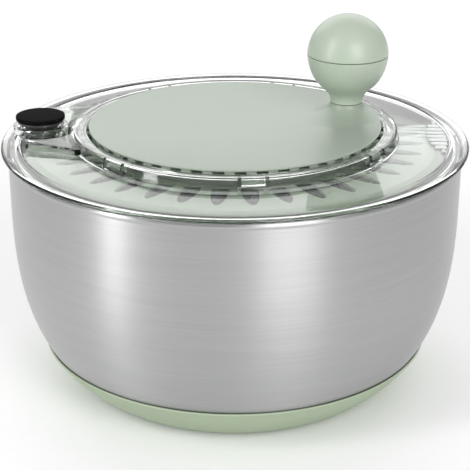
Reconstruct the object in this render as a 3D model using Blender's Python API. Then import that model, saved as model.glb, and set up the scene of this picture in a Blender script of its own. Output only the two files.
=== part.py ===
"""Salad spinner: steel bowl, colander basket, clear lid, geared crank disc and brake button.

Metres, +Z up, origin at the centre of the base's foot ring.  The front is -Y.
Everything turns round the upright axis of the bowl unless a comment says otherwise.
"""
import math

import bmesh
import bpy
from mathutils import Matrix

MM = 0.001

# Overall sizes
BOWL_RADIUS = 127.3 * MM        # outside of the bowl's straight wall
BOWL_HEIGHT = 140.0 * MM        # top of the bowl's rolled rim above the table
SHOULDER_DROP = 25.0 * MM       # straight wall below the rim
CURVE_BELOW = 17.4 * MM         # the side curve would close this far under the table
CURVE_POWER = 2.8

# Fits
CLEARANCE = 0.3 * MM            # between pieces that are fixed or rest together
RUNNING_GAP = 0.6 * MM          # between pieces that slide or turn past each other

# Steel bowl and its base
STEEL_WALL = 0.8 * MM
RIM_BEAD = 1.3 * MM             # how far the rolled rim stands out
BOWL_FLOOR = 3.5 * MM           # underside of the steel floor
FILLET_TOP = 12.0 * MM
FILLET_WIDTH = 27.7 * MM
DIMPLE_HEIGHT = 5.0 * MM
DIMPLE_RADIUS = 6.0 * MM
DIMPLE_FLARE = 6.0 * MM
BASE_TOP = 26.0 * MM
BASE_WALL = 0.8 * MM
BASE_RECESS = 1.0 * MM
FOOT_RING_WIDTH = 15.0 * MM

# Basket and its foot bearing
BASKET_GAP = 9.5 * MM           # between the bowl's outer curve and the basket's
BASKET_WALL = 2.2 * MM
BASKET_FLOOR = 12.0 * MM
BASKET_FILLET_TOP = 22.0 * MM
BASKET_FILLET_WIDTH = 24.3 * MM
BASKET_RIM_DROP = 7.0 * MM      # basket rim below the bowl rim
BASKET_RIM_FLANGE = 1.7 * MM
BASKET_RIM_HEIGHT = 2.4 * MM
BASKET_SLOTS = 24
BASKET_SLOT_WIDTH = 6.0 * MM
BASKET_SLOT_LOW = 34.0 * MM
BASKET_SLOT_TOP_DROP = 32.0 * MM
FLOOR_SLOTS = 12
FLOOR_SLOT_WIDTH = 4.0 * MM
HUB_RADIUS = 10.5 * MM
HUB_HEIGHT = 12.0 * MM
HUB_ROOF = 3.0 * MM
PIVOT_RADIUS = 5.0 * MM
FOOT_RADIUS = 16.0 * MM

# Drive lugs between the drive plate and the basket's rim
LUGS = 4
LUG_WIDTH = 8.0 * MM
LUG_DEPTH = 2.2 * MM

# Clear lid
LID_OVERHANG = 3.7 * MM         # lid's edge outside the bowl's wall
LID_WALL = 2.0 * MM
LID_RIM_TOP = 3.5 * MM          # crest of the lid's rim above the bowl's rim
RIM_STEP_INSET = 10.7 * MM      # groove inside the lid's rim, from the lid's edge
SKIRT_INSET = 1.7 * MM          # lid's locating skirt inside the bowl's wall
SKIRT_WALL = 2.0 * MM
SKIRT_DEPTH = 7.0 * MM
RIM_RIBS = 8
RIM_RIB_WIDTH = 3.6 * MM
RIM_RIB_ANGLE = -87.8
SERVICE_WIDTH = 49.0 * MM       # ring of the lid that holds the brake and the drain
TURRET_RISE = 9.9 * MM          # top of the turret above the bowl's rim
TURRET_RING = 7.8 * MM          # width of the turret's flat top
TURRET_WALL = 2.0 * MM
TURRET_TOP_WALL = 1.8 * MM
LIP_WALL = 1.8 * MM
LIP_DROP = 2.6 * MM
LIP_FALL = 0.7 * MM             # the turret's flat top falls this much to the disc
CLIPS = 7
CLIP_WIDTH = 16.0 * MM
CLIP_POST = 2.0 * MM
CLIP_ANGLE = -84.0

# Drain grille in the lid
DRAIN_SLOTS = 8
DRAIN_PITCH = 6.3 * MM
DRAIN_SLOT_WIDTH = 2.2 * MM
DRAIN_LENGTH = 11.0 * MM
DRAIN_ANGLE = -1.2

# Crank disc
DISC_LIP = 0.7 * MM
DISC_RISE = 11.0 * MM           # edge of the disc above the bowl's rim
DISC_DISH = 4.5 * MM
DISC_WALL = 1.8 * MM
DISC_SKIRT_WALL = 1.6 * MM
DISC_SKIRT_DROP = 2.8 * MM
WINDOWS = 45
WINDOW_WIDTH = 6.2 * MM
WINDOW_HEIGHT = 1.7 * MM

# Knob
KNOB_INSET = 15.4 * MM          # knob's axis inside the disc's edge
KNOB_ANGLE = 16.5
KNOB_RADIUS = 23.0 * MM
KNOB_LIFT = 27.5 * MM           # ball's centre above the knob's lower end
KNOB_NECK = 9.2 * MM
KNOB_BOSS_RISE = 6.2 * MM       # top of the boss above the disc's edge
KNOB_PIN_RADIUS = 3.0 * MM
FLARE_REACH = 16.0 * MM         # how far the knob's boss flares out over the disc

# Gear train
RING_TEETH = 48
IDLER_TEETH = 18
SUN_TEETH = 12
PRESSURE_ANGLE = math.radians(25.0)
BACKLASH = 0.30 * MM
GEAR_WIDTH = 4.2 * MM
RING_WALL = 2.9 * MM
IDLERS = 3
RIVET_RADIUS = 3.0 * MM
RIVET_HEAD = 4.8 * MM
RIVET_HEAD_HEIGHT = 1.3 * MM
HOUSING_WALL = 1.8 * MM
HOUSING_FLOOR = 1.6 * MM
HOUSING_FLANGE = 5.3 * MM        # flange at the housing's mouth, outside its wall
HOUSING_DROP = 4.2 * MM         # housing's underside below the bowl's rim
SCREW_RADIUS = 3.0 * MM
HEX_RADIUS = 6.0 * MM
DRIVE_HUB_RADIUS = 8.6 * MM

# Drive plate
PLATE_WALL = 1.8 * MM
PLATE_DROP = 0.5 * MM           # plate's top below the bowl's rim
PAN_DROP = 6.8 * MM             # pan's floor below the bowl's rim
PETALS = 36
PETAL_LENGTH = 30.0 * MM
PETAL_WIDTH = 9.4 * MM
PLATE_SKIRT_DEPTH = 4.8 * MM

# Brake button
BRAKE_ANGLE = 175.8
CAP_OVERHANG = 1.0 * MM         # cap of the brake's button outside its ring
CAP_HEIGHT = 2.7 * MM
BRAKE_RING_RADIUS = 12.9 * MM
BRAKE_STEM_RADIUS = 9.0 * MM
BRAKE_TRAVEL = 2.4 * MM
BRAKE_LIFT = 9.9 * MM           # underside of the cap above the bowl's rim
BOSS_WALL = 2.2 * MM
BOSS_RISE = 7.2 * MM
PLATEAU_INNER_ANGLE = 29.7      # half the plateau round the brake, at the turret
PLATEAU_OUTER_ANGLE = 15.5      # the same at the rim
PAD_HEIGHT = 1.2 * MM
SPRING_WIRE = 0.5 * MM
SPRING_TURNS = 2.5

ROUND = 36                      # facets of the large turned pieces
MEDIUM = 36
SMALL = 16

# Sizes that follow from the ones above
SHOULDER = BOWL_HEIGHT - SHOULDER_DROP
LID_RADIUS = BOWL_RADIUS + LID_OVERHANG
SEAT = BOWL_HEIGHT + RUNNING_GAP
LID_TOP = BOWL_HEIGHT + LID_RIM_TOP
DISC_RADIUS = LID_RADIUS - SERVICE_WIDTH + 0.1 * MM
LIP_RADIUS = DISC_RADIUS + 1.1 * MM
TURRET_RADIUS = LIP_RADIUS + TURRET_RING
TURRET_TOP = BOWL_HEIGHT + TURRET_RISE
TURRET_INSIDE = TURRET_RADIUS - TURRET_WALL
LIP_TOP = TURRET_TOP - LIP_FALL
LID_HIGH = TURRET_TOP + 5.0 * MM
DISC_TOP = BOWL_HEIGHT + DISC_RISE
SKIRT_OUTER = BOWL_RADIUS - SKIRT_INSET
RIM_STEP = LID_RADIUS - RIM_STEP_INSET
FLAT_OUTER_TOP = LID_TOP - 0.9 * MM
FLAT_INNER_TOP = LID_TOP + 0.3 * MM

RING_OUTER = DISC_RADIUS - 14.1 * MM
MODULE = (RING_OUTER - RING_WALL) / (RING_TEETH / 2 + 1.05)
ADDENDUM = 0.8 * MODULE
DEDENDUM = ADDENDUM + 0.45 * MM
RING_PITCH = MODULE * RING_TEETH / 2
IDLER_PITCH = MODULE * IDLER_TEETH / 2
SUN_PITCH = MODULE * SUN_TEETH / 2
IDLER_ORBIT = SUN_PITCH + IDLER_PITCH
IDLER_ANGLES = [90.0 + 120.0 * i for i in range(IDLERS)]

HOUSING_INNER = RING_OUTER + 0.9 * MM
HOUSING_OUTER = HOUSING_INNER + HOUSING_WALL
HOUSING_BOTTOM = BOWL_HEIGHT - HOUSING_DROP
HOUSING_TOP = TURRET_TOP - TURRET_TOP_WALL - LIP_DROP + 1.4 * MM
GEAR_LOW = HOUSING_BOTTOM + HOUSING_FLOOR + 0.4 * MM
GEAR_TOP = GEAR_LOW + GEAR_WIDTH
BORE_HUB = DRIVE_HUB_RADIUS + RUNNING_GAP
PIN_HOLE = RIVET_RADIUS + CLEARANCE
SCREW_HOLE = SCREW_RADIUS + CLEARANCE + 0.1 * MM

PLATE_TOP = BOWL_HEIGHT - PLATE_DROP
PAN_BOTTOM = BOWL_HEIGHT - PAN_DROP - PLATE_WALL
PAN_INNER = HOUSING_OUTER + 1.8 * MM
PAN_OUTER = PAN_INNER + 2.0 * MM
BASKET_TOP = BOWL_HEIGHT - BASKET_RIM_DROP
BASKET_MOUTH = BOWL_RADIUS - BASKET_GAP - BASKET_WALL
PLATE_SKIRT = BASKET_MOUTH - RUNNING_GAP
PLATE_EDGE = BASKET_MOUTH + BASKET_WALL + 1.4 * MM

BRAKE_ORBIT = (LID_RADIUS + TURRET_RADIUS) / 2
CAP_RADIUS = BRAKE_RING_RADIUS + CAP_OVERHANG
BRAKE_X = BRAKE_ORBIT * math.cos(math.radians(BRAKE_ANGLE))
BRAKE_Y = BRAKE_ORBIT * math.sin(math.radians(BRAKE_ANGLE))
CAP_LOW = BOWL_HEIGHT + BRAKE_LIFT
PAD_LOW = PLATE_TOP + BRAKE_TRAVEL + 0.2 * MM
LEDGE = FLAT_OUTER_TOP + 0.3 * MM
BRAKE_BORE = BRAKE_RING_RADIUS + 0.4 * MM

KNOB_ORBIT = DISC_RADIUS - KNOB_INSET
KNOB_X = KNOB_ORBIT * math.cos(math.radians(KNOB_ANGLE))
KNOB_Y = KNOB_ORBIT * math.sin(math.radians(KNOB_ANGLE))
BOSS_TOP = DISC_TOP + KNOB_BOSS_RISE
KNOB_LOW = BOSS_TOP + CLEARANCE
KNOB_CENTRE = KNOB_LOW + KNOB_LIFT


# ---------------------------------------------------------------- materials

def make_material(name, colour, roughness, metallic=0.0, alpha=1.0):
    """A Principled material with the piece's colour and finish."""
    material = bpy.data.materials.new(name)
    material.use_nodes = True
    shader = material.node_tree.nodes["Principled BSDF"]
    shader.inputs["Base Color"].default_value = (*colour, 1.0)
    shader.inputs["Roughness"].default_value = roughness
    shader.inputs["Metallic"].default_value = metallic
    shader.inputs["Alpha"].default_value = alpha
    material.diffuse_color = (*colour, alpha)
    return material


# ------------------------------------------------------------ mesh helpers

def finish_object(name, bm, material, parent=None, place=(0.0, 0.0, 0.0)):
    """Make a smooth-shaded object from a bmesh, under a parent, at a place."""
    bmesh.ops.recalc_face_normals(bm, faces=bm.faces)
    mesh = bpy.data.meshes.new(name)
    bm.to_mesh(mesh)
    bm.free()
    mesh.shade_smooth()
    mesh.set_sharp_from_angle(angle=math.radians(35.0))
    if material is not None:
        mesh.materials.append(material)
    shape = bpy.data.objects.new(name, mesh)
    bpy.context.scene.collection.objects.link(shape)
    shape.location = place
    if parent is not None:
        shape.parent = parent
    return shape


def add_turned(bm, outline, facets):
    """Spin an outline of (radius, height) points once round the upright axis.

    An outline whose two ends lie on the axis stays open there; any other one is closed.
    """
    verts = [bm.verts.new((radius, 0.0, height)) for radius, height in outline]
    edges = [bm.edges.new(pair) for pair in zip(verts, verts[1:])]
    if outline[0][0] > 0.0 or outline[-1][0] > 0.0:
        edges.append(bm.edges.new((verts[-1], verts[0])))
    bmesh.ops.spin(bm, geom=verts + edges, cent=(0, 0, 0), axis=(0, 0, 1),
                   angle=2 * math.pi, steps=facets, use_merge=True)
    bmesh.ops.remove_doubles(bm, verts=bm.verts, dist=1e-6)


def turned(name, outline, facets, material, parent=None, place=(0.0, 0.0, 0.0)):
    """A turned piece."""
    bm = bmesh.new()
    add_turned(bm, outline, facets)
    return finish_object(name, bm, material, parent, place)


def add_plate(bm, outline, low, high, turn=Matrix()):
    """Extrude a flat outline of (x, y) points upwards from one height to another."""
    verts = [bm.verts.new(turn @ Matrix.Translation((x, y, low)).translation)
             for x, y in outline]
    face = bm.faces.new(verts)
    made = bmesh.ops.extrude_face_region(bm, geom=[face])
    raised = [item for item in made["geom"] if isinstance(item, bmesh.types.BMVert)]
    bmesh.ops.translate(bm, verts=raised, vec=(0.0, 0.0, high - low))


def turn_z(degrees):
    """A rotation about the upright axis."""
    return Matrix.Rotation(math.radians(degrees), 4, "Z")


def block_ring(bm, count, start, inner, outer, width, low, high):
    """Equal blocks round the axis, each from an inner to an outer radius."""
    half = width / 2
    outline = [(inner, -half), (outer, -half), (outer, half), (inner, half)]
    for index in range(count):
        add_plate(bm, outline, low, high, turn_z(start + 360.0 * index / count))


def tool(name, bm, parent=None, place=(0.0, 0.0, 0.0)):
    """A hidden shape that only cuts or joins."""
    shape = finish_object(name, bm, None, parent, place)
    shape.hide_render = True
    shape.display_type = "WIRE"
    return shape


def combine(target, helper, operation):
    """Cut, join or trim a piece with a hidden shape."""
    modifier = target.modifiers.new(helper.name, "BOOLEAN")
    modifier.operation = operation
    modifier.solver = "EXACT"
    modifier.object = helper


def turned_tool(name, outline, facets, place=(0.0, 0.0, 0.0)):
    """A hidden turned shape."""
    bm = bmesh.new()
    add_turned(bm, outline, facets)
    return tool(name, bm, None, place)


def drill(name, radius, low, high, place=(0.0, 0.0, 0.0), facets=SMALL):
    """A hidden upright cylinder for a hole."""
    return turned_tool(name, [(0.0, low), (radius, low), (radius, high), (0.0, high)],
                       facets, place)


def joint_axis(name, place, parent=None):
    """An empty that stands on a moving piece's axis."""
    axis = bpy.data.objects.new(name, None)
    bpy.context.scene.collection.objects.link(axis)
    axis.location = place
    axis.empty_display_size = 0.02
    if parent is not None:
        axis.parent = parent
    return axis


# ------------------------------------------------------------- side curves

def body_radius(height):
    """Outside radius of the bowl at a height."""
    if height >= SHOULDER:
        return BOWL_RADIUS
    depth = (SHOULDER - height) / (SHOULDER + CURVE_BELOW)
    return BOWL_RADIUS * (1.0 - depth ** CURVE_POWER) ** (1.0 / CURVE_POWER)


def basket_radius(height):
    """Outside radius of the basket at a height."""
    return body_radius(height) - BASKET_GAP


def fillet(radius_at, floor, top, width, count):
    """Points that lead a flat floor into a side curve, tangent to both."""
    end = radius_at(top)
    slope = (radius_at(top + 0.5 * MM) - radius_at(top - 0.5 * MM)) / MM
    start = end - width
    middle = end - (top - floor) * slope
    points = []
    for index in range(count + 1):
        t = index / count
        radius = (1 - t) ** 2 * start + 2 * t * (1 - t) * middle + t * t * end
        points.append((radius, floor + t * t * (top - floor)))
    return points


def side(radius_at, low, high, count):
    """Points up a side curve, both ends included, closer together near the floor."""
    heights = [low + (high - low) * (index / count) ** 1.3 for index in range(count + 1)]
    return [(radius_at(height), height) for height in heights]


def offset_line(points, distance):
    """The line moved to its left by a distance, with mitred corners."""
    moved = []
    for index, (radius, height) in enumerate(points):
        normals = []
        for a, b in ((index - 1, index), (index, index + 1)):
            if a < 0 or b >= len(points):
                continue
            along = (points[b][0] - points[a][0], points[b][1] - points[a][1])
            length = math.hypot(*along)
            normals.append((-along[1] / length, along[0] / length))
        mean = (sum(n[0] for n in normals), sum(n[1] for n in normals))
        length = math.hypot(*mean)
        mean = (mean[0] / length, mean[1] / length)
        reach = distance / (mean[0] * normals[0][0] + mean[1] * normals[0][1])
        moved.append((radius + mean[0] * reach, height + mean[1] * reach))
    return moved


def steel_line():
    """Outside of the steel from the edge of the dimple to the top of the wall."""
    return (fillet(body_radius, BOWL_FLOOR, FILLET_TOP, FILLET_WIDTH, 3)
            + side(body_radius, FILLET_TOP, SHOULDER, 6)[1:])


# ------------------------------------------------------------ bowl and base

def build_bowl(steel):
    """Steel bowl with a rolled rim and a locating dimple in its floor."""
    dimple = BOWL_FLOOR + DIMPLE_HEIGHT
    line = [(DIMPLE_RADIUS, dimple), (DIMPLE_RADIUS + DIMPLE_FLARE, BOWL_FLOOR)]
    line += steel_line() + [(BOWL_RADIUS, BOWL_HEIGHT - 3.4 * MM)]
    inner = offset_line(line, STEEL_WALL)
    bead = [(BOWL_RADIUS + RIM_BEAD, BOWL_HEIGHT - 2.5 * MM),
            (BOWL_RADIUS + RIM_BEAD, BOWL_HEIGHT - 0.8 * MM),
            (BOWL_RADIUS + 0.3 * MM, BOWL_HEIGHT),
            (BOWL_RADIUS - STEEL_WALL, BOWL_HEIGHT - 0.8 * MM)]
    outline = [(0.0, dimple)] + line + bead + inner[::-1] + [(0.0, dimple + STEEL_WALL)]
    return turned("bowl", outline, ROUND, steel)


def build_base(silicone):
    """Soft cup that the bowl stands in, with a foot ring underneath."""
    line = [point for point in steel_line() if point[1] < BASE_TOP - MM]
    line.append((body_radius(BASE_TOP), BASE_TOP))
    inside = [(0.0, BOWL_FLOOR - CLEARANCE)] + offset_line(line, -CLEARANCE)
    stand = CLEARANCE + BASE_WALL
    top = inside[-1][1]
    heights = [top, 0.62 * top, 0.3 * top, 0.08 * top]
    outside = [(body_radius(height) + stand + 0.3 * MM, height) for height in heights]
    foot = body_radius(0.0)
    outside += [(foot, 0.0), (foot - FOOT_RING_WIDTH, 0.0),
                (foot - FOOT_RING_WIDTH, BASE_RECESS), (0.0, BASE_RECESS)]
    return turned("base_cup", inside + outside, ROUND, silicone)


# ------------------------------------------------------------------- basket

def build_foot(plastic, axis):
    """Bearing that sits over the bowl's dimple and carries the basket's socket."""
    cap = BOWL_FLOOR + DIMPLE_HEIGHT + STEEL_WALL + CLEARANCE
    low = BOWL_FLOOR + STEEL_WALL + CLEARANCE
    top = BASKET_FLOOR - CLEARANCE - 0.1 * MM
    spigot = BASKET_FLOOR + HUB_HEIGHT - HUB_ROOF - 0.5 * MM
    outline = [(0.0, cap), (DIMPLE_RADIUS + CLEARANCE, cap),
               (DIMPLE_RADIUS + DIMPLE_FLARE + CLEARANCE, low),
               (FOOT_RADIUS, low), (FOOT_RADIUS, low + 3.0 * MM),
               (FOOT_RADIUS - 4.0 * MM, top), (PIVOT_RADIUS, top),
               (PIVOT_RADIUS, spigot), (0.0, spigot)]
    return turned("basket_foot", outline, SMALL, plastic, axis)


def build_basket(plastic, axis):
    """Colander basket: slotted wall and floor, stiff rim, hub with a blind socket."""
    line = (fillet(basket_radius, BASKET_FLOOR, BASKET_FILLET_TOP, BASKET_FILLET_WIDTH, 2)
            + side(basket_radius, BASKET_FILLET_TOP, SHOULDER, 4)[1:])
    wall = basket_radius(BASKET_TOP)
    rim_low = BASKET_TOP - BASKET_RIM_HEIGHT
    socket = PIVOT_RADIUS + CLEARANCE
    roof = BASKET_FLOOR + HUB_HEIGHT - HUB_ROOF
    inner = offset_line([(HUB_RADIUS + 2.5 * MM, BASKET_FLOOR)] + line, BASKET_WALL)
    outline = [(0.0, roof), (socket, roof), (socket, BASKET_FLOOR)] + line
    outline += [(wall, rim_low - 0.6 * MM), (wall + BASKET_RIM_FLANGE, rim_low),
                (wall + BASKET_RIM_FLANGE, BASKET_TOP), (wall - BASKET_WALL, BASKET_TOP)]
    outline += inner[::-1]
    outline += [(HUB_RADIUS, BASKET_FLOOR + HUB_HEIGHT), (0.0, BASKET_FLOOR + HUB_HEIGHT)]
    basket = turned("basket", outline, MEDIUM, plastic, axis)

    slots = bmesh.new()
    block_ring(slots, BASKET_SLOTS, 180.0 / BASKET_SLOTS, BASKET_MOUTH * 0.5,
               BOWL_RADIUS, BASKET_SLOT_WIDTH, BASKET_SLOT_LOW,
               BOWL_HEIGHT - BASKET_SLOT_TOP_DROP)
    combine(basket, tool("basket_wall_slots", slots), "DIFFERENCE")

    drains = bmesh.new()
    block_ring(drains, FLOOR_SLOTS, 180.0 / FLOOR_SLOTS, FOOT_RADIUS + 8.0 * MM,
               line[0][0] - 6.0 * MM, FLOOR_SLOT_WIDTH, BASKET_FLOOR - MM,
               BASKET_FLOOR + BASKET_WALL + MM)
    combine(basket, tool("basket_floor_slots", drains), "DIFFERENCE")

    notches = bmesh.new()
    gap = RUNNING_GAP * 2
    block_ring(notches, LUGS, 45.0, BASKET_MOUTH - 0.4 * MM, BOWL_RADIUS,
               LUG_WIDTH + gap, BASKET_TOP - LUG_DEPTH - 0.4 * MM, BASKET_TOP + MM)
    combine(basket, tool("basket_notches", notches), "DIFFERENCE")
    return basket


# -------------------------------------------------------------------- gears

def involute(angle):
    """Involute function of a pressure angle."""
    return math.tan(angle) - angle


def half_tooth(radius, pitch, thickness):
    """Half angle that a tooth fills at a radius of a gear with outside teeth."""
    base = pitch * math.cos(PRESSURE_ANGLE)
    at = math.acos(min(1.0, base / max(radius, base)))
    return thickness / (2 * pitch) + involute(PRESSURE_ANGLE) - involute(at)


def gear_outline(teeth, phase):
    """Outline of a gear with outside teeth; phase 0 puts a tooth at angle 0."""
    pitch = MODULE * teeth / 2
    thickness = math.pi * MODULE / 2 - BACKLASH
    radii = [pitch - DEDENDUM, pitch, pitch + ADDENDUM]
    points = []
    for index in range(teeth):
        centre = 2 * math.pi * (index + phase) / teeth
        flank = [(radius, half_tooth(radius, pitch, thickness)) for radius in radii]
        for radius, half in flank:
            points.append((radius * math.cos(centre - half), radius * math.sin(centre - half)))
        for radius, half in flank[::-1]:
            points.append((radius * math.cos(centre + half), radius * math.sin(centre + half)))
    return points


def ring_outline():
    """Toothed opening of the internal gear, with a tooth pointing in at angle 0."""
    space = math.pi * MODULE / 2 + BACKLASH
    root = RING_PITCH + DEDENDUM
    tip = RING_PITCH - ADDENDUM
    points = []
    for index in range(RING_TEETH):
        centre = 2 * math.pi * (index + 0.5) / RING_TEETH
        for radius in (tip, root):
            half = half_tooth(radius, RING_PITCH, space)
            points.append((radius * math.cos(centre - half), radius * math.sin(centre - half)))
        for radius in (root, tip):
            half = half_tooth(radius, RING_PITCH, space)
            points.append((radius * math.cos(centre + half), radius * math.sin(centre + half)))
    return points


def build_sun(plastic, axis):
    """Small gear on the drive plate's hexagonal spigot."""
    bm = bmesh.new()
    add_plate(bm, gear_outline(SUN_TEETH, 0.0), GEAR_LOW, GEAR_TOP)
    sun = finish_object("sun_gear", bm, plastic, axis)
    socket = bmesh.new()
    add_plate(socket, hexagon(HEX_RADIUS + CLEARANCE * 1.2), GEAR_LOW - MM, GEAR_TOP + MM)
    combine(sun, tool("sun_hex_hole", socket), "DIFFERENCE")
    return sun


def build_idler(number, angle, plastic, steel, lid_axis):
    """One idler gear and the rivet that it turns on."""
    place = (IDLER_ORBIT * math.cos(math.radians(angle)),
             IDLER_ORBIT * math.sin(math.radians(angle)), 0.0)
    axis = joint_axis("idler_%d_axis" % number, place, lid_axis)
    bm = bmesh.new()
    phase = angle * IDLER_TEETH / 360.0 + 0.5
    add_plate(bm, gear_outline(IDLER_TEETH, phase), GEAR_LOW, GEAR_TOP)
    gear = finish_object("idler_gear_%d" % number, bm, plastic, axis)
    hole = drill("idler_%d_hole" % number, PIN_HOLE, GEAR_LOW - MM, GEAR_TOP + MM, place)
    combine(gear, hole, "DIFFERENCE")
    low = HOUSING_BOTTOM - CLEARANCE
    top = GEAR_TOP + CLEARANCE + 0.1 * MM
    rivet = [(0.0, low - RIVET_HEAD_HEIGHT), (RIVET_HEAD, low - RIVET_HEAD_HEIGHT),
             (RIVET_HEAD, low), (RIVET_RADIUS, low), (RIVET_RADIUS, top),
             (RIVET_HEAD, top), (RIVET_HEAD - MM, top + RIVET_HEAD_HEIGHT),
             (0.0, top + RIVET_HEAD_HEIGHT)]
    turned("idler_rivet_%d" % number, rivet, SMALL, steel, lid_axis, place)


def hexagon(radius):
    """Corners of a hexagon."""
    return [(radius * math.cos(math.radians(60 * i)), radius * math.sin(math.radians(60 * i)))
            for i in range(6)]


def build_housing(plastic, lid_axis):
    """Cup under the turret that holds the gears; its arms snap into the lid's clips."""
    edge = HOUSING_OUTER + HOUSING_FLANGE
    low = HOUSING_TOP - 2.0 * MM
    floor = HOUSING_BOTTOM + HOUSING_FLOOR
    outline = [(BORE_HUB, HOUSING_BOTTOM), (HOUSING_OUTER, HOUSING_BOTTOM),
               (HOUSING_OUTER, low), (edge, low), (edge, HOUSING_TOP),
               (HOUSING_INNER, HOUSING_TOP), (HOUSING_INNER, floor), (BORE_HUB, floor)]
    housing = turned("gear_housing", outline, ROUND, plastic, lid_axis)
    arms = bmesh.new()
    block_ring(arms, CLIPS, CLIP_ANGLE, HOUSING_OUTER + 0.6 * MM, TURRET_INSIDE - 1.1 * MM,
               CLIP_WIDTH - 2 * CLIP_POST - MM, low + 0.2 * MM, HOUSING_TOP - 0.2 * MM)
    combine(housing, tool("housing_arms", arms), "UNION")
    for number, angle in enumerate(IDLER_ANGLES, 1):
        place = (IDLER_ORBIT * math.cos(math.radians(angle)),
                 IDLER_ORBIT * math.sin(math.radians(angle)), 0.0)
        hole = drill("rivet_hole_%d" % number, PIN_HOLE, HOUSING_BOTTOM - MM, floor + MM, place)
        combine(housing, hole, "DIFFERENCE")
    return housing


# -------------------------------------------------------------- drive plate

def petal_outline():
    """An egg-shaped slot that starts outside the pan; its blunt end is the inner one."""
    start = PAN_OUTER + 1.8 * MM
    widest = 0.25 * PETAL_LENGTH
    right = []
    for degrees in (-60, -15, 25, 50, 72):
        angle = math.radians(degrees)
        reach = widest if degrees < 0 else PETAL_LENGTH - widest
        right.append((start + widest + reach * math.sin(angle),
                      0.5 * PETAL_WIDTH * math.cos(angle)))
    left = [(along, -across) for along, across in right[::-1]]
    return right + [(start + PETAL_LENGTH, 0.0)] + left


def build_drive_plate(plastic, axis):
    """Plate that closes the basket and spins it: pan, petal slots, skirt and lugs."""
    shoulder = GEAR_LOW - CLEARANCE
    under = PLATE_TOP - PLATE_WALL
    skirt_low = BASKET_TOP - PLATE_SKIRT_DEPTH
    inner = PLATE_SKIRT - 1.8 * MM
    rest = BASKET_TOP + 0.4 * MM
    outline = [(0.0, PAN_BOTTOM), (PAN_OUTER, PAN_BOTTOM), (PAN_OUTER, under),
               (inner, under), (inner, skirt_low), (PLATE_SKIRT, skirt_low),
               (PLATE_SKIRT, rest), (PLATE_EDGE, rest), (PLATE_EDGE, rest + 1.6 * MM),
               (inner + 0.4 * MM, PLATE_TOP), (PAN_INNER, PLATE_TOP),
               (PAN_INNER, PAN_BOTTOM + PLATE_WALL),
               (DRIVE_HUB_RADIUS, PAN_BOTTOM + PLATE_WALL),
               (DRIVE_HUB_RADIUS, shoulder), (0.0, shoulder)]
    plate = turned("drive_plate", outline, ROUND, plastic, axis)

    spigot = bmesh.new()
    add_plate(spigot, hexagon(HEX_RADIUS), shoulder - MM, GEAR_TOP + 0.2 * MM)
    combine(plate, tool("drive_spigot", spigot), "UNION")

    lugs = bmesh.new()
    block_ring(lugs, LUGS, 45.0, PLATE_SKIRT + 0.9 * MM, PLATE_EDGE - 0.5 * MM, LUG_WIDTH,
               BASKET_TOP - LUG_DEPTH, rest + 0.8 * MM)
    combine(plate, tool("drive_lugs", lugs), "UNION")

    petals = bmesh.new()
    for index in range(PETALS):
        turn = turn_z((index + 0.5) * 360.0 / PETALS)
        add_plate(petals, petal_outline(), under - MM, PLATE_TOP + MM, turn)
    combine(plate, tool("drive_petals", petals), "DIFFERENCE")

    hole = drill("drive_hole", SCREW_HOLE, PAN_BOTTOM - MM, GEAR_TOP + MM)
    combine(plate, hole, "DIFFERENCE")
    return plate


def build_centre_fixing(steel, plastic, crank_axis, drive_axis):
    """Screw that holds the drive plate up to the crank disc, and its washer."""
    low = PAN_BOTTOM - CLEARANCE
    washer = [(SCREW_HOLE, low - 0.8 * MM), (9.0 * MM, low - 0.8 * MM),
              (9.0 * MM, low), (SCREW_HOLE, low)]
    turned("centre_washer", washer, SMALL, plastic, drive_axis)
    head = low - 0.8 * MM - CLEARANCE
    top = GEAR_TOP + 3.2 * MM
    screw = [(0.0, head - 2.2 * MM), (5.6 * MM, head - 2.2 * MM), (6.5 * MM, head - 1.4 * MM),
             (6.5 * MM, head), (SCREW_RADIUS, head), (SCREW_RADIUS, top), (0.0, top)]
    turned("centre_screw", screw, SMALL, steel, crank_axis)


# ---------------------------------------------------------------------- lid

def drain_slots():
    """Radial slots of the drain grille, longest in the middle."""
    bm = bmesh.new()
    outer = RIM_STEP - 0.9 * MM
    half_span = DRAIN_PITCH * (DRAIN_SLOTS / 2 + 0.3)
    turn = turn_z(DRAIN_ANGLE)
    for index in range(DRAIN_SLOTS):
        across = (index - (DRAIN_SLOTS - 1) / 2) * DRAIN_PITCH
        start = outer - DRAIN_LENGTH * math.sqrt(1.0 - (across / half_span) ** 2)
        end = math.sqrt(outer ** 2 - (abs(across) + DRAIN_SLOT_WIDTH / 2) ** 2)
        low, high = across - DRAIN_SLOT_WIDTH / 2, across + DRAIN_SLOT_WIDTH / 2
        add_plate(bm, [(start, low), (end, low), (end, high), (start, high)],
                  BOWL_HEIGHT - MM, TURRET_TOP, turn)
    return tool("drain_slots", bm)


def saddle(name, arcs, low):
    """Convex solid over arcs round the lid's axis, centred on the brake's direction.

    Each arc is a radius, half its angle in degrees, the height of its top in the middle,
    and how far the top falls to the arc's two ends.
    """
    bm = bmesh.new()
    for radius, half, top, fall in arcs:
        for step in range(-3, 4):
            angle = math.radians(BRAKE_ANGLE + half * step / 3.0)
            along, across = radius * math.cos(angle), radius * math.sin(angle)
            bm.verts.new((along, across, low))
            bm.verts.new((along, across, top - fall * (step / 3.0) ** 4))
    bmesh.ops.convex_hull(bm, input=bm.verts)
    loose = [vert for vert in bm.verts if not vert.link_faces]
    bmesh.ops.delete(bm, geom=loose, context="VERTS")
    return tool(name, bm)


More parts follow.
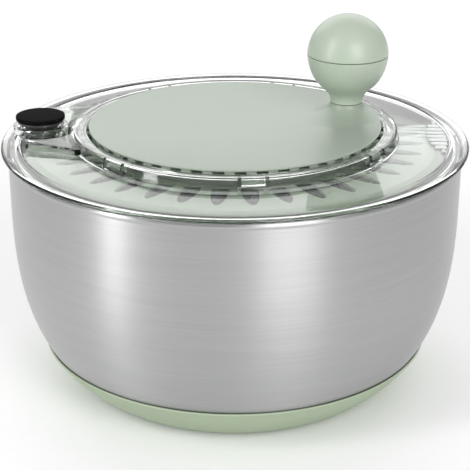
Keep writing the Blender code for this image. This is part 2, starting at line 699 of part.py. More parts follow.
def build_lid(clear, lid_axis):
    """Clear lid: rim over the bowl, skirt inside it, flat ring, and turret round the disc."""
    edge_top = LID_TOP - 1.5 * MM
    skirt_in = SKIRT_OUTER - SKIRT_WALL
    skirt_low = BOWL_HEIGHT - SKIRT_DEPTH
    ring_low = TURRET_TOP - TURRET_TOP_WALL
    lip_low = HOUSING_TOP + 0.4 * MM
    foot = TURRET_RADIUS + 0.6 * MM
    under_in = FLAT_INNER_TOP - LID_WALL
    under_out = FLAT_OUTER_TOP - LID_WALL
    outline = [(LIP_RADIUS, lip_low), (LIP_RADIUS + LIP_WALL, lip_low),
               (LIP_RADIUS + LIP_WALL, ring_low), (TURRET_INSIDE, ring_low),
               (TURRET_INSIDE + 0.6 * MM, under_in), (RIM_STEP - 1.0 * MM, under_out),
               (skirt_in, under_out - 0.8 * MM), (skirt_in, skirt_low),
               (SKIRT_OUTER, skirt_low), (SKIRT_OUTER, SEAT), (LID_RADIUS - 0.6 * MM, SEAT),
               (LID_RADIUS, SEAT + 0.4 * MM), (LID_RADIUS, edge_top),
               (LID_RADIUS - 0.9 * MM, edge_top + 1.0 * MM), (LID_RADIUS - 4.0 * MM, LID_TOP),
               (RIM_STEP + 0.8 * MM, LID_TOP - 0.2 * MM), (RIM_STEP, FLAT_OUTER_TOP),
               (foot, FLAT_INNER_TOP), (TURRET_RADIUS, TURRET_TOP), (LIP_RADIUS, LIP_TOP)]
    lid = turned("lid", outline, ROUND, clear, lid_axis)

    clips = bmesh.new()
    block_ring(clips, CLIPS, CLIP_ANGLE, TURRET_INSIDE - 2.4 * MM, TURRET_RADIUS - 0.9 * MM,
               CLIP_WIDTH, HOUSING_TOP - 3.6 * MM, HOUSING_TOP - 2.3 * MM)
    combine(lid, tool("lid_clips", clips), "UNION")

    posts = bmesh.new()
    aside = math.degrees((CLIP_WIDTH - CLIP_POST) / 2 / (TURRET_INSIDE - 0.7 * MM))
    for angle in (CLIP_ANGLE - aside, CLIP_ANGLE + aside):
        block_ring(posts, CLIPS, angle, TURRET_INSIDE - 2.3 * MM, TURRET_RADIUS - 1.1 * MM,
                   CLIP_POST, HOUSING_TOP - 3.0 * MM, ring_low + 0.6 * MM)
    combine(lid, tool("lid_clip_posts", posts), "UNION")

    ribs = bmesh.new()
    block_ring(ribs, RIM_RIBS, RIM_RIB_ANGLE, SKIRT_OUTER - 0.6 * MM, SKIRT_OUTER + 0.3 * MM,
               RIM_RIB_WIDTH, skirt_low + 0.5 * MM, SEAT + 0.5 * MM)
    combine(lid, tool("lid_ribs", ribs), "UNION")

    plateau_top = BOWL_HEIGHT + BOSS_RISE - 0.1 * MM
    inner = TURRET_RADIUS - 0.5 * MM
    plateau = saddle("lid_plateau", [(inner, PLATEAU_INNER_ANGLE, plateau_top, 0.0),
                                     (RIM_STEP - 2.8 * MM, PLATEAU_OUTER_ANGLE,
                                      plateau_top, 0.0)],
                     FLAT_OUTER_TOP - 0.6 * MM)
    ramp_top = TURRET_TOP - 0.5 * MM
    ramp = saddle("lid_ramp", [(inner, PLATEAU_INNER_ANGLE - 1.7, ramp_top,
                                ramp_top - plateau_top + 0.3 * MM),
                               (BRAKE_ORBIT - CAP_RADIUS - 0.7 * MM, PLATEAU_INNER_ANGLE - 3.7,
                                plateau_top - 0.3 * MM, 0.0)],
                  FLAT_OUTER_TOP + 0.4 * MM)
    for number, shape in enumerate((plateau, ramp)):
        trim = drill("saddle_trim_%d" % number, TURRET_RADIUS - 0.8 * MM, BOWL_HEIGHT - MM,
                     LID_HIGH, facets=ROUND)
        combine(shape, trim, "DIFFERENCE")
        combine(lid, shape, "UNION")

    here = (BRAKE_X, BRAKE_Y, 0.0)
    boss = drill("lid_boss", BRAKE_BORE + BOSS_WALL, FLAT_OUTER_TOP - 0.6 * MM,
                 BOWL_HEIGHT + BOSS_RISE, here, 24)
    combine(lid, boss, "UNION")

    under = plateau_top - LID_WALL
    pocket = saddle("lid_pocket", [(TURRET_RADIUS + LID_WALL + 0.2 * MM,
                                    PLATEAU_INNER_ANGLE - 4.2, under, 0.0),
                                   (RIM_STEP - 4.8 * MM, PLATEAU_OUTER_ANGLE - 1.0,
                                    under, 0.0)],
                    BOWL_HEIGHT - MM)
    combine(pocket, drill("pocket_trim_in", TURRET_RADIUS + LID_WALL, BOWL_HEIGHT - 2 * MM,
                          LID_HIGH, facets=ROUND), "DIFFERENCE")
    combine(pocket, drill("pocket_trim_out", BRAKE_BORE + BOSS_WALL + 0.1 * MM,
                          BOWL_HEIGHT - 2 * MM, LID_HIGH, here, 24), "DIFFERENCE")
    combine(lid, pocket, "DIFFERENCE")

    stem = BRAKE_STEM_RADIUS + 0.4 * MM
    bore = turned_tool("lid_bore", [(0.0, BOWL_HEIGHT - MM), (stem, BOWL_HEIGHT - MM),
                                    (stem, LEDGE), (BRAKE_BORE, LEDGE),
                                    (BRAKE_BORE, TURRET_TOP + MM), (0.0, TURRET_TOP + MM)],
                       24, here)
    combine(lid, bore, "DIFFERENCE")
    combine(lid, drain_slots(), "DIFFERENCE")
    return lid


# --------------------------------------------------------------- crank disc

def disc_height(radius):
    """Top of the dished disc at a radius."""
    return DISC_TOP - DISC_DISH * (1.0 - (radius / DISC_RADIUS) ** 2)


def knob_boss(here):
    """Trumpet that rises out of the dished disc up to the knob."""
    bm = bmesh.new()
    neck = KNOB_NECK + 0.1 * MM
    count = 7
    reach = [neck + FLARE_REACH * (index / count) ** 2 for index in range(count + 1)]
    outline = [(0.0, 0.0)] + [(radius, 0.0) for radius in reach[1::3]]
    outline += [(radius, MM) for radius in reach[::-1]] + [(0.0, MM)]
    add_turned(bm, outline, 26)
    for vert in bm.verts:
        dish = disc_height(math.hypot(vert.co.x + here[0], vert.co.y + here[1]))
        if vert.co.z < 0.5 * MM:
            vert.co.z = dish - 0.65 * MM
            continue
        beyond = math.hypot(vert.co.x, vert.co.y) - neck
        spread = beyond / FLARE_REACH if beyond > 0.001 * MM else 0.0
        rise = max(0.0, 1.0 - math.sqrt(spread)) ** 1.3
        vert.co.z = rise * BOSS_TOP + (1.0 - rise) * (dish - 0.3 * MM)
    return tool("disc_boss", bm, None, here)


def build_crank(plastic, crank_axis):
    """Dished crank disc with its castellated skirt, ring gear, hub and knob boss."""
    hub_low = GEAR_TOP + 0.5 * MM
    hub = 6.5 * MM
    skirt_out = DISC_RADIUS - DISC_LIP
    skirt_in = skirt_out - DISC_SKIRT_WALL
    skirt_low = DISC_TOP - DISC_SKIRT_DROP
    fractions = (0.5, 0.8)
    under = [(f * DISC_RADIUS, disc_height(f * DISC_RADIUS) - DISC_WALL) for f in fractions]
    over = [(f * DISC_RADIUS, disc_height(f * DISC_RADIUS)) for f in fractions[::-1]]
    outline = [(0.0, hub_low), (hub, hub_low), (hub, disc_height(hub) - DISC_WALL)] + under
    outline += [(skirt_in, disc_height(skirt_in) - DISC_WALL), (skirt_in, skirt_low),
                (skirt_out, skirt_low), (skirt_out, DISC_TOP - 1.1 * MM),
                (DISC_RADIUS, DISC_TOP - 0.9 * MM), (DISC_RADIUS, DISC_TOP - 0.2 * MM),
                (DISC_RADIUS - 0.6 * MM, DISC_TOP)]
    outline += over + [(0.0, disc_height(0.0))]
    disc = turned("crank_disc", outline, ROUND, plastic, crank_axis)

    windows = bmesh.new()
    block_ring(windows, WINDOWS, 0.0, skirt_in - 0.4 * MM, DISC_RADIUS + MM, WINDOW_WIDTH,
               skirt_low - MM, skirt_low + WINDOW_HEIGHT)
    combine(disc, tool("disc_windows", windows), "DIFFERENCE")

    ring = turned_tool("disc_ring", [(RING_PITCH - 2 * ADDENDUM, GEAR_LOW + 1.2 * MM),
                                     (RING_OUTER, GEAR_LOW + 1.2 * MM),
                                     (RING_OUTER, disc_height(RING_OUTER) - MM),
                                     (RING_PITCH - 2 * ADDENDUM,
                                      disc_height(RING_PITCH - 2 * ADDENDUM) - MM)], ROUND)
    teeth = bmesh.new()
    add_plate(teeth, ring_outline(), GEAR_LOW - MM, disc_height(RING_PITCH) - DISC_WALL - 0.8 * MM)
    combine(ring, tool("ring_teeth", teeth), "DIFFERENCE")
    combine(disc, ring, "UNION")

    here = (KNOB_X, KNOB_Y, 0.0)
    boss = knob_boss(here)
    combine(boss, drill("boss_trim", DISC_RADIUS - 0.4 * MM, BOWL_HEIGHT, LID_HIGH + 9 * MM,
                        facets=ROUND), "INTERSECT")
    combine(disc, boss, "UNION")
    hole = drill("disc_pin_hole", KNOB_PIN_RADIUS + CLEARANCE, BOSS_TOP - 6.9 * MM,
                 BOSS_TOP + MM, here, 15)
    combine(disc, hole, "DIFFERENCE")
    blind = drill("disc_screw_hole", SCREW_HOLE, hub_low - MM, GEAR_TOP + 3.5 * MM)
    combine(disc, blind, "DIFFERENCE")
    return disc


def build_knob(plastic, steel, crank_axis, knob_axis):
    """Ball knob in two halves, turning on a headed pin."""
    here = (KNOB_X, KNOB_Y, 0.0)
    bore = KNOB_PIN_RADIUS + 0.4 * MM
    ball = KNOB_RADIUS
    centre = KNOB_CENTRE
    seat = centre - 7.0 * MM
    seam = 0.15 * MM
    plug = 17.7 * MM

    pin_low = BOSS_TOP - 6.6 * MM
    head_low = seat + 2 * CLEARANCE + 0.9 * MM
    pin = [(0.0, pin_low), (KNOB_PIN_RADIUS, pin_low), (KNOB_PIN_RADIUS, head_low),
           (5.2 * MM, head_low), (5.2 * MM, head_low + 1.6 * MM), (0.0, head_low + 2.0 * MM)]
    turned("knob_pin", pin, SMALL, steel, crank_axis, here)

    washer = [(bore, seat + CLEARANCE), (6.5 * MM, seat + CLEARANCE),
              (6.5 * MM, seat + CLEARANCE + 0.9 * MM), (bore, seat + CLEARANCE + 0.9 * MM)]
    turned("knob_washer", washer, SMALL, steel, knob_axis)

    lower = [(bore, KNOB_LOW), (KNOB_NECK, KNOB_LOW), (KNOB_NECK + 0.7 * MM, centre - 24.0 * MM),
             (12.4 * MM, centre - 20.8 * MM), (18.0 * MM, centre - 15.5 * MM),
             (21.5 * MM, centre - 7.6 * MM), (ball, centre - seam),
             (plug + CLEARANCE, centre - seam), (plug + CLEARANCE, centre - 4.0 * MM),
             (8.5 * MM, seat), (bore, seat)]
    turned("knob_base", lower, 24, plastic, knob_axis)

    dome = [(ball * math.cos(math.radians(a)), centre + ball * math.sin(math.radians(a)))
            for a in (22, 44, 64, 80)]
    upper = [(0.0, centre + ball - 3.0 * MM), (10.0 * MM, centre + ball - 5.0 * MM),
             (plug - 2.1 * MM, centre + 12.0 * MM), (plug - 2.1 * MM, centre - 2.8 * MM),
             (plug, centre - 2.8 * MM), (plug, centre + seam), (ball, centre + seam)]
    upper += dome + [(0.0, centre + ball)]
    turned("knob_cap", upper, 24, plastic, knob_axis)


# -------------------------------------------------------------------- brake

def build_brake(rubber, black, steel, axis):
    """Brake button with its soft pad and return spring."""
    stem_low = PAD_LOW + PAD_HEIGHT + CLEARANCE
    ring_low = CAP_LOW - 1.6 * MM
    button = [(0.0, stem_low), (BRAKE_STEM_RADIUS, stem_low), (BRAKE_STEM_RADIUS, ring_low),
              (BRAKE_RING_RADIUS, ring_low), (BRAKE_RING_RADIUS, CAP_LOW),
              (CAP_RADIUS, CAP_LOW), (CAP_RADIUS, CAP_LOW + CAP_HEIGHT - 0.7 * MM),
              (CAP_RADIUS - 0.7 * MM, CAP_LOW + CAP_HEIGHT), (0.0, CAP_LOW + CAP_HEIGHT)]
    turned("brake_button", button, 20, black, axis)

    pad = [(0.0, PAD_LOW), (BRAKE_STEM_RADIUS - 0.2 * MM, PAD_LOW),
           (BRAKE_STEM_RADIUS - 0.2 * MM, PAD_LOW + PAD_HEIGHT), (0.0, PAD_LOW + PAD_HEIGHT)]
    turned("brake_pad", pad, SMALL, rubber, axis)

    coil = (BRAKE_STEM_RADIUS + BRAKE_BORE) / 2
    low = LEDGE + CLEARANCE + SPRING_WIRE
    high = ring_low - CLEARANCE - SPRING_WIRE
    curve = bpy.data.curves.new("brake_spring", "CURVE")
    curve.dimensions = "3D"
    curve.bevel_depth = SPRING_WIRE
    curve.bevel_resolution = 1
    curve.use_fill_caps = True
    spline = curve.splines.new("POLY")
    count = int(SPRING_TURNS * 14)
    spline.points.add(count)
    for index in range(count + 1):
        angle = 2 * math.pi * SPRING_TURNS * index / count
        height = low + (high - low) * index / count
        spline.points[index].co = (coil * math.cos(angle), coil * math.sin(angle), height, 1.0)
    curve.materials.append(steel)
    spring = bpy.data.objects.new("brake_spring", curve)
    bpy.context.scene.collection.objects.link(spring)
    spring.parent = axis


def main():
    for old in list(bpy.data.objects):
        bpy.data.objects.remove(old, do_unlink=True)

    steel = make_material("brushed_steel", (0.62, 0.62, 0.62), 0.32, 1.0)
    fixing = make_material("bright_steel", (0.70, 0.70, 0.71), 0.25, 1.0)
    silicone = make_material("sage_silicone", (0.42, 0.50, 0.36), 0.55)
    sage = make_material("sage_plastic", (0.53, 0.60, 0.50), 0.30)
    green = make_material("green_plastic", (0.36, 0.46, 0.32), 0.35)
    white = make_material("white_nylon", (0.78, 0.79, 0.76), 0.40)
    clear = make_material("clear_plastic", (0.90, 0.93, 0.91), 0.06, 0.0, 0.3)
    black = make_material("black_plastic", (0.012, 0.012, 0.013), 0.38)
    rubber = make_material("dark_rubber", (0.03, 0.03, 0.03), 0.80)

    build_bowl(steel)
    build_base(silicone)

    centre = (0.0, 0.0, 0.0)
    foot_axis = joint_axis("foot_axis", centre)
    basket_axis = joint_axis("basket_axis", centre, foot_axis)
    lid_axis = joint_axis("lid_axis", centre, foot_axis)
    crank_axis = joint_axis("crank_axis", centre, lid_axis)
    knob_axis = joint_axis("knob_axis", (KNOB_X, KNOB_Y, 0.0), crank_axis)
    drive_axis = joint_axis("drive_axis", centre, lid_axis)
    brake_axis = joint_axis("brake_axis", (BRAKE_X, BRAKE_Y, 0.0), lid_axis)

    build_foot(white, foot_axis)
    build_basket(green, basket_axis)
    build_lid(clear, lid_axis)
    build_housing(sage, lid_axis)
    for number, angle in enumerate(IDLER_ANGLES, 1):
        build_idler(number, angle, white, fixing, lid_axis)
    build_drive_plate(green, drive_axis)
    build_sun(white, drive_axis)
    build_centre_fixing(fixing, white, crank_axis, drive_axis)
    build_crank(sage, crank_axis)
    build_knob(sage, fixing, crank_axis, knob_axis)
    build_brake(rubber, black, fixing, brake_axis)


main()
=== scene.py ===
# %% [markdown]
# # A salad spinner
#
# The object is a steel bowl in a soft base, with a clear lid.  A dished disc sits in the
# lid's turret and carries a ball knob.  Turning it drives a slotted plate through gears,
# and the plate spins the basket inside the bowl.  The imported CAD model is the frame.  It
# has every piece at its real place, so each fine piece made here goes where it says.

# %% Load the frame
import math

import bmesh
import bpy
from mathutils import Matrix, Vector


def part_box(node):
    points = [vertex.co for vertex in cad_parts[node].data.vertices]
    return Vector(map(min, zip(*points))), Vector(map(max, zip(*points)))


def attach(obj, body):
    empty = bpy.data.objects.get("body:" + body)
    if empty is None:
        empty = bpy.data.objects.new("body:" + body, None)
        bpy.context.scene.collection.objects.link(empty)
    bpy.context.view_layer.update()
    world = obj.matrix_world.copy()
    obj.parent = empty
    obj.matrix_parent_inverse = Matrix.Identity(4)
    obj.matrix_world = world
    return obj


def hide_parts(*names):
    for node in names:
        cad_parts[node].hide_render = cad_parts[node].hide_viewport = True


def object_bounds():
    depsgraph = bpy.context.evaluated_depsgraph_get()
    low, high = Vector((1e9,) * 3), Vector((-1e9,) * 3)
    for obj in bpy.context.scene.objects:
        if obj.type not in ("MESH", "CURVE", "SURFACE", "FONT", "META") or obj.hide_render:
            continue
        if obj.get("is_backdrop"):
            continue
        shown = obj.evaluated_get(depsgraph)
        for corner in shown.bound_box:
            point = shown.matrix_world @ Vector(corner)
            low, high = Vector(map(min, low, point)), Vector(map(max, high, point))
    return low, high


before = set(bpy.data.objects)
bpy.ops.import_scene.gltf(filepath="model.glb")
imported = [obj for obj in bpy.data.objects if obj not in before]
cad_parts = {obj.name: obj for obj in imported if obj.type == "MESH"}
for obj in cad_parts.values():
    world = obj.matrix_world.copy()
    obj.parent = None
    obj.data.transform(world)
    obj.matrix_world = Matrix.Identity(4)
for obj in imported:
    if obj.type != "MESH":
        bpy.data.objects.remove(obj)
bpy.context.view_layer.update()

MM = 0.001

# %% [markdown]
# ## Shader maths that reads like maths
#
# A shader is a graph of nodes.  Wiring Math nodes by hand is slow to read, so one small
# class wraps a socket and lets Python's own operators add the nodes.  The reflected forms
# let a plain number stand on the left, as in 1 - mask.

# %% A socket that can be added and multiplied
class Signal:
    """A shader value that takes part in Python expressions."""

    def __init__(self, finish, socket):
        self.finish = finish
        self.socket = socket

    def maths(self, operation, first, second):
        return self.finish.node("ShaderNodeMath", {"operation": operation},
                                {0: first, 1: second})

    def __add__(self, other):
        return self.maths("ADD", self, other)

    def __radd__(self, other):
        return self.maths("ADD", other, self)

    def __sub__(self, other):
        return self.maths("SUBTRACT", self, other)

    def __rsub__(self, other):
        return self.maths("SUBTRACT", other, self)

    def __mul__(self, other):
        return self.maths("MULTIPLY", self, other)

    def __rmul__(self, other):
        return self.maths("MULTIPLY", other, self)


class Finish:
    """One material: a Principled shader and the nodes that drive it."""

    def __init__(self, name, **constants):
        self.material = bpy.data.materials.new(name)
        self.material.use_nodes = True
        self.tree = self.material.node_tree
        self.shader = self.tree.nodes["Principled BSDF"]
        for socket, value in constants.items():
            self.shader.inputs[socket.replace("_", " ")].default_value = value

    def node(self, kind, settings, inputs, output=0):
        """Add a node: its settings first, then values or signals for its sockets."""
        node = self.tree.nodes.new(kind)
        for name, value in settings.items():
            setattr(node, name, value)
        for name, value in inputs.items():
            self.plug(node.inputs[name], value)
        return Signal(self, node.outputs[output])

    def plug(self, socket, value):
        if isinstance(value, Signal):
            self.tree.links.new(value.socket, socket)
        else:
            socket.default_value = value

    def drive(self, **sockets):
        """Feed the shader's own sockets."""
        for socket, value in sockets.items():
            self.plug(self.shader.inputs[socket.replace("_", " ")], value)

    def place(self, scale=(1.0, 1.0, 1.0)):
        """The piece's own coordinates, stretched by a scale."""
        here = self.node("ShaderNodeTexCoord", {}, {}, "Object")
        return self.node("ShaderNodeMapping", {}, {"Vector": here, "Scale": scale})

    def noise(self, size, detail=3.0, scale=(1.0, 1.0, 1.0)):
        """Soft noise whose features are about a size in metres."""
        return self.node("ShaderNodeTexNoise", {},
                         {"Vector": self.place(scale), "Scale": 1.0 / size, "Detail": detail})

    def mix(self, mask, first, second):
        """Blend two colours by a mask."""
        node = self.tree.nodes.new("ShaderNodeMix")
        node.data_type = "RGBA"
        self.plug(node.inputs["Factor"], mask)
        self.plug(node.inputs[6], (*first, 1.0))
        self.plug(node.inputs[7], (*second, 1.0))
        return Signal(self, node.outputs[2])

    def bump(self, height, strength, distance):
        """Turn a height into a tilt of the surface."""
        return self.node("ShaderNodeBump", {},
                         {"Height": height, "Strength": strength, "Distance": distance})


print("one class for values and one for finishes")

# %% [markdown]
# ## Brushed steel
#
# The bowl was brushed while it turned, so its scratches run round it.  Noise that is
# squeezed a hundred times in height, and left broad in the level plane, gives streaks
# that follow the wall.  They tilt the surface a little, which smears each reflection
# upwards and downwards, and they change how rough it is.

# %% Steel finishes
def brushed_steel():
    """Steel brushed round an upright axis."""
    finish = Finish("brushed_steel", Metallic=1.0, Anisotropic=0.85, Anisotropic_Rotation=0.25)
    fine = finish.noise(0.06, 4.0, (1.0, 1.0, 110.0))
    broad = finish.noise(0.09, 2.0, (1.0, 1.0, 16.0))
    streak = fine * 0.7 + broad * 0.3
    finish.drive(Base_Color=finish.mix(streak, (0.37, 0.37, 0.375), (0.53, 0.53, 0.535)),
                 Roughness=0.32 + streak * 0.10,
                 Normal=finish.bump(fine, 0.15, 0.0002))
    return finish.material


def turned_steel(name, tint, roughness):
    """Bright steel with faint turning marks."""
    finish = Finish(name, Metallic=1.0)
    marks = finish.noise(0.004, 2.0, (1.0, 1.0, 6.0))
    finish.drive(Base_Color=finish.mix(marks, [c * 0.85 for c in tint], tint),
                 Roughness=roughness + marks * 0.12,
                 Normal=finish.bump(marks, 0.08, 0.00005))
    return finish.material


STEEL = brushed_steel()
FIXING = turned_steel("bright_steel", (0.72, 0.72, 0.73), 0.18)
print("steel finishes:", STEEL.name, FIXING.name)

# %% [markdown]
# ## Moulded plastics and silicone
#
# Moulded plastic is never quite even.  Its colour drifts by a few parts in a hundred as it
# cools, and its skin has a fine grain.  Silicone is softer, duller and a little dusty.  One
# recipe makes them all: a slow drift of colour, a grain for roughness, and a tiny bump.

# %% Plastic finishes
def moulded(name, dark, light, roughness, grain=0.0012, depth=0.00002, **constants):
    """Plastic or rubber with drifting colour and a fine grained skin."""
    finish = Finish(name, **constants)
    drift = finish.noise(0.05, 2.0)
    skin = finish.noise(grain, 3.0)
    finish.drive(Base_Color=finish.mix(drift, dark, light),
                 Roughness=(roughness - 0.05) + skin * 0.10,
                 Normal=finish.bump(skin, 0.25, depth))
    return finish.material


SAGE = moulded("sage_plastic", (0.30, 0.355, 0.29), (0.335, 0.39, 0.325), 0.36)
KNOB_SAGE = moulded("knob_plastic", (0.395, 0.46, 0.375), (0.43, 0.495, 0.41), 0.34)
SILICONE = moulded("sage_silicone", (0.32, 0.39, 0.275), (0.36, 0.43, 0.31), 0.55, 0.0008)
GREEN = moulded("green_plastic", (0.34, 0.43, 0.31), (0.39, 0.48, 0.36), 0.34)
# The basket's green is darkened far below the plate's: painted shade for the dim inside of the
# bowl, seen through the plate's slots.
PAINTED_SHADE_GREEN = moulded("basket_painted_shade", (0.14, 0.18, 0.13), (0.17, 0.21, 0.15), 0.34)
NYLON = moulded("white_nylon", (0.70, 0.71, 0.68), (0.78, 0.79, 0.76), 0.42)
SOFT_BLACK = moulded("soft_black", (0.005, 0.005, 0.005), (0.008, 0.008, 0.008), 0.55,
                     IOR=1.05)
BLACK = moulded("black_plastic", (0.045, 0.045, 0.047), (0.060, 0.060, 0.062), 0.30)
# This near-white colour paints the highlight on the drain ridges.
FROST_PAINTED_HIGHLIGHT = moulded("frosted_clear_painted_highlight", (0.84, 0.86, 0.85), (0.90, 0.91, 0.90), 0.30, 0.0006,
                Transmission_Weight=0.2)
RUBBER = moulded("dark_rubber", (0.02, 0.02, 0.02), (0.035, 0.035, 0.035), 0.8, 0.0006)
print("moulded finishes: 10")

# %% [markdown]
# ## Clear plastic
#
# The lid is polished and clear, so nearly all of its look is refraction and reflection in
# its edges.  Transmission does that by itself when the walls have their real thickness.  A
# faint haze in the roughness stands for the fine scratches of a washed lid.

# %% Clear finish
def clear_plastic():
    """Polished clear plastic, a little hazy where hands and sponges reach."""
    finish = Finish("clear_plastic", Base_Color=(0.965, 0.985, 0.97, 1.0), IOR=1.42,
                    Transmission_Weight=1.0)
    haze = finish.noise(0.012, 4.0)
    wave = finish.noise(0.03, 2.0)
    finish.drive(Roughness=0.01 + haze * 0.03,
                 Normal=finish.bump(wave, 0.12, 0.0004))
    return finish.material


CLEAR = clear_plastic()
print("clear finish:", CLEAR.name)

# %% [markdown]
# ## Turned shapes
#
# Nearly every piece here is round, so each starts as an outline of radius and height that
# is spun once round the upright axis.  Real mouldings have no knife edges, and a rounded
# edge is what catches the light.  So a helper cuts each corner of the outline back along
# its two sides and lays a short curve between the cuts.

# %% Outlines and spinning
def soften(outline, radius, steps=4, closed=True):
    """Round the corners of an outline; an open one keeps its two ends."""
    count = len(outline)
    result = []
    for index, corner in enumerate(outline):
        if not closed and index in (0, count - 1):
            result.append(corner)
            continue
        here = Vector(corner)
        before = Vector(outline[index - 1]) - here
        after = Vector(outline[(index + 1) % count]) - here
        straight = before.angle(after) > math.radians(165)
        if straight or min(before.length, after.length) < 1e-6:
            result.append(corner)
            continue
        start = here + before.normalized() * min(radius, 0.45 * before.length)
        end = here + after.normalized() * min(radius, 0.45 * after.length)
        for step in range(steps + 1):
            t = step / steps
            point = (1 - t) ** 2 * start + 2 * t * (1 - t) * here + t * t * end
            result.append(tuple(point))
    return result


def spin_into(bm, outline, steps, centre=(0.0, 0.0)):
    """Spin an outline of (radius, height) pairs into a bmesh."""
    new = [bm.verts.new((radius, 0.0, height)) for radius, height in outline]
    edges = [bm.edges.new(pair) for pair in zip(new, new[1:])]
    if outline[0][0] > 0.0 or outline[-1][0] > 0.0:
        edges.append(bm.edges.new((new[-1], new[0])))
    before = set(bm.verts) - set(new)
    bmesh.ops.spin(bm, geom=new + edges, cent=(0, 0, 0), axis=(0, 0, 1),
                   angle=2 * math.pi, steps=steps, use_merge=True)
    made = [vert for vert in bm.verts if vert not in before]
    bmesh.ops.remove_doubles(bm, verts=made, dist=1e-6)
    made = [vert for vert in bm.verts if vert not in before]
    bmesh.ops.translate(bm, verts=made, vec=(*centre, 0.0))


def finish_piece(name, bm, material, sharp=38.0):
    """Put a bmesh into the scene as a smooth-shaded object at the origin."""
    bmesh.ops.recalc_face_normals(bm, faces=bm.faces)
    mesh = bpy.data.meshes.new(name)
    bm.to_mesh(mesh)
    bm.free()
    mesh.shade_smooth()
    mesh.set_sharp_from_angle(angle=math.radians(sharp))
    if material:
        mesh.materials.append(material)
    piece = bpy.data.objects.new(name, mesh)
    bpy.context.scene.collection.objects.link(piece)
    return piece


def spun(name, outline, material, steps=128, centre=(0.0, 0.0)):
    """A turned piece."""
    bm = bmesh.new()
    spin_into(bm, outline, steps, centre)
    return finish_piece(name, bm, material)


print("outlines can be softened and spun")

# %% [markdown]
# ## Slots, clips and ribs
#
# What isn't round is a flat outline pushed upwards: a slot, a clip or a rib.  They come in
# rings, so one helper repeats them round the axis.  A Boolean then cuts them out of the
# turned piece or joins them to it.  Its result is made the piece's own mesh at once, so
# that its edges can be marked sharp or smooth like any other.

# %% Flat shapes and Booleans
def push_up(bm, outline, low, high, turn=Matrix()):
    """Extrude a flat outline of (x, y) points from one height to another."""
    verts = [bm.verts.new(turn @ Vector((x, y, low))) for x, y in outline]
    face = bm.faces.new(verts)
    made = bmesh.ops.extrude_face_region(bm, geom=[face])["geom"]
    top = [item for item in made if isinstance(item, bmesh.types.BMVert)]
    bmesh.ops.translate(bm, verts=top, vec=(0.0, 0.0, high - low))


def around(degrees):
    return Matrix.Rotation(math.radians(degrees), 4, "Z")


def ring_of(outline, low, high, count, start=0.0):
    """The same flat shape, pushed up at equal steps round the axis."""
    bm = bmesh.new()
    for index in range(count):
        push_up(bm, outline, low, high, around(start + 360.0 * index / count))
    return bm


def bar(inner, outer, width):
    """Outline of a bar that runs outwards along X."""
    half = width / 2
    return [(inner, -half), (outer, -half), (outer, half), (inner, half)]


def work(piece, *steps):
    """Cut from or join to a piece with (operation, bmesh) pairs, then keep the result."""
    tools = []
    for operation, bm in steps:
        tools.append(finish_piece(piece.name + "_tool", bm, None))
        modifier = piece.modifiers.new("work", "BOOLEAN")
        modifier.operation = operation
        modifier.object = tools[-1]
    graph = bpy.context.evaluated_depsgraph_get()
    mesh = bpy.data.meshes.new_from_object(piece.evaluated_get(graph))
    piece.modifiers.clear()
    piece.data = mesh
    mesh.shade_smooth()
    mesh.set_sharp_from_angle(angle=math.radians(38.0))
    for item in tools:
        bpy.data.objects.remove(item, do_unlink=True)
    print(piece.name, len(mesh.polygons), "faces")
    return piece


def taken_back(piece):
    """A piece's mesh as a bmesh to work with, once the piece itself is removed."""
    bm = bmesh.new()
    bm.from_mesh(piece.data)
    bpy.data.objects.remove(piece, do_unlink=True)
    return bm


def stands_for(piece, body, slot, *nodes):
    """The piece rides on a body and hides the CAD nodes it stands for; its slot is not used."""
    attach(piece, body)
    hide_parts(*nodes)
    print(piece.name, "stands for", ", ".join(nodes))


# %% [markdown]
# ## The bowl
#
# The side of the bowl is one curve from the floor to the straight wall under the rim.  A
# curve of the family x^n + y^n = 1 fits it, with n a little under three, squarer than a
# circle.  The rim is rolled outwards into a bead.  The floor has a dimple for the basket.

# %% Spin the bowl
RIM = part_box("bowl")[1].z
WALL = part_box("lid")[1].x - 3.7 * MM
SHOULDER = RIM - 25.0 * MM


def side(height):
    """Outside radius of the bowl at a height."""
    if height >= SHOULDER:
        return WALL
    depth = (SHOULDER - height) / (SHOULDER + 17.4 * MM)
    return WALL * (1.0 - depth ** 2.8) ** (1.0 / 2.8)


def floor_curve(low, top, width, radius_at, steps=10):
    """Points from a flat floor into a side curve, level at one end and tangent at the other."""
    end = radius_at(top)
    slope = (radius_at(top + 0.5 * MM) - radius_at(top - 0.5 * MM)) / MM
    ends = (end - width, end - (top - low) * slope, end)
    points = []
    for index in range(steps + 1):
        t = index / steps
        weights = ((1 - t) ** 2, 2 * t * (1 - t), t * t)
        radius = sum(w * e for w, e in zip(weights, ends))
        points.append((radius, low + t * t * (top - low)))
    return points


def climb(low, high, radius_at, steps):
    """Points up a side curve."""
    heights = [low + (high - low) * index / steps for index in range(steps + 1)]
    return [(radius_at(height), height) for height in heights]


def beside(points, distance):
    """A line moved to its left by a distance."""
    moved = []
    for index, (radius, height) in enumerate(points):
        first = points[max(index - 1, 0)]
        last = points[min(index + 1, len(points) - 1)]
        along = Vector((last[0] - first[0], last[1] - first[1])).normalized()
        moved.append((radius - along.y * distance, height + along.x * distance))
    return moved


